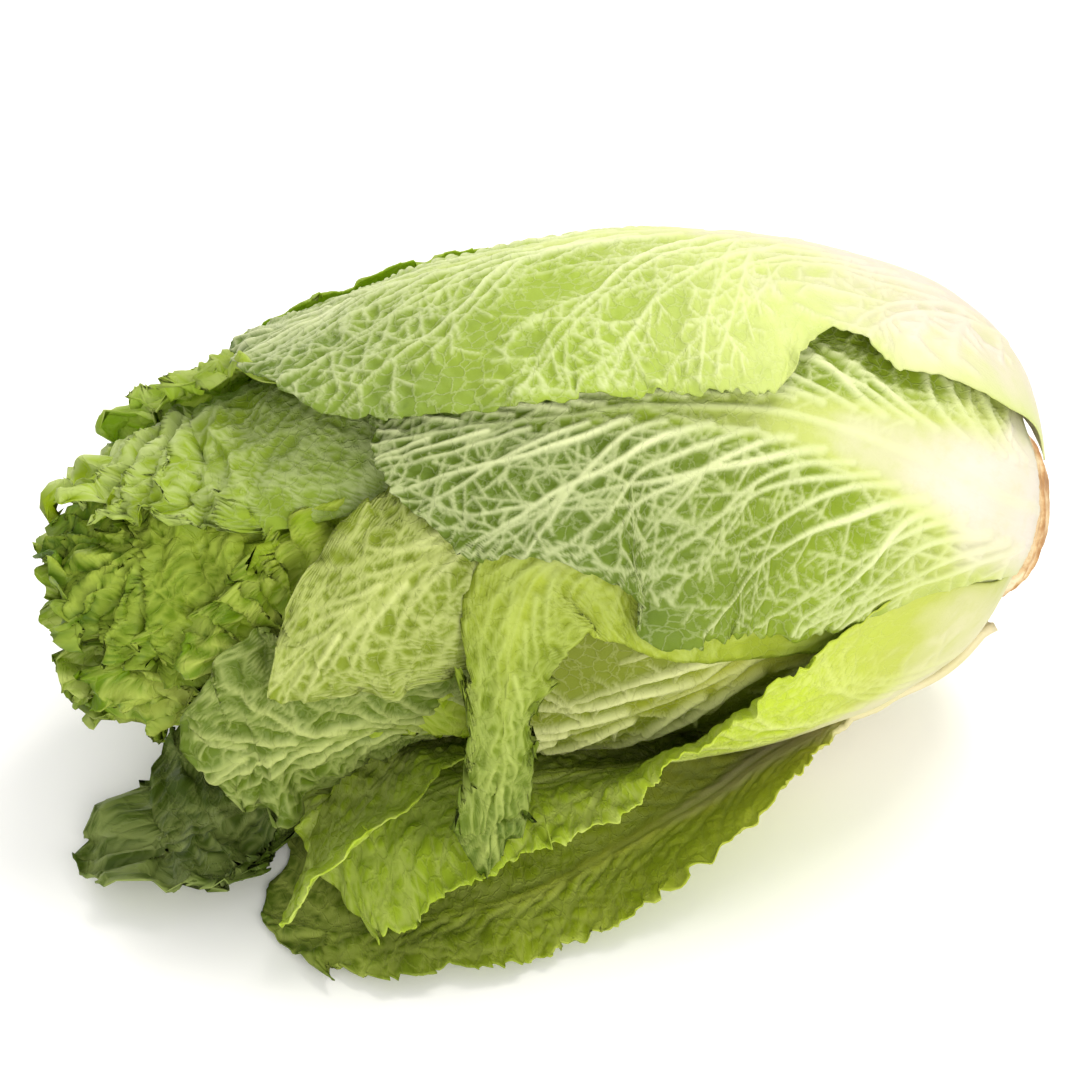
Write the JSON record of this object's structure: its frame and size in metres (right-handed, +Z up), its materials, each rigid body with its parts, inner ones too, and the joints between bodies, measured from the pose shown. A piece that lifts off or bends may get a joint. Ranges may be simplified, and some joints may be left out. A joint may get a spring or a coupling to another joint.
{
  "type": "napa cabbage",
  "caption": "Whole head of napa cabbage as picked, lying on its side, with broad white ribs, veined green blades, loose outer leaves and a cut stem.",
  "frame": {"origin": "centre of the footprint, on the surface that the head lies on", "axes": "+X along the head from the leaf tips to the cut stem, +Z up"},
  "size_m": [0.3546, 0.221, 0.1924],
  "materials": {
    "leaf_pale": "satin",
    "leaf_bright": "satin",
    "leaf_dark": "satin",
    "leaf_heart": "satin",
    "stem_flesh": "matte"
  },
  "bodies": {
    "root": {"bottom_leaf": "leaf_bright", "drooping_leaf": "leaf_pale", "fan_tip_leaf": "leaf_bright", "curled_leaf_front": "leaf_bright", "curled_leaf_low": "leaf_bright", "heart_leaf_01": "leaf_heart", "heart_leaf_02": "leaf_heart", "heart_leaf_03": "leaf_heart", "heart_leaf_04": "leaf_heart", "heart_leaf_05": "leaf_heart", "heart_leaf_06": "leaf_heart", "heart_leaf_07": "leaf_heart", "heart_leaf_08": "leaf_heart", "heart_leaf_09": "leaf_heart", "heart_leaf_10": "leaf_heart", "heart_leaf_11": "leaf_heart", "heart_leaf_12": "leaf_heart", "inner_front_leaf": "leaf_pale", "inner_leaf_back": "leaf_bright", "inner_leaf_top": "leaf_bright", "long_tip_leaf": "leaf_pale", "lower_leaf_back": "leaf_dark", "lower_leaf_front": "leaf_bright", "middle_leaf_back": "leaf_bright", "outer_leaf_back": "leaf_pale", "outer_leaf_front": "leaf_pale", "outer_leaf_top": "leaf_pale", "pointed_tip_leaf": "leaf_bright", "shoulder_leaf": "leaf_bright", "stem": "stem_flesh", "under_leaf": "leaf_dark", "upper_leaf_back": "leaf_bright"}
  },
  "joints": []
}
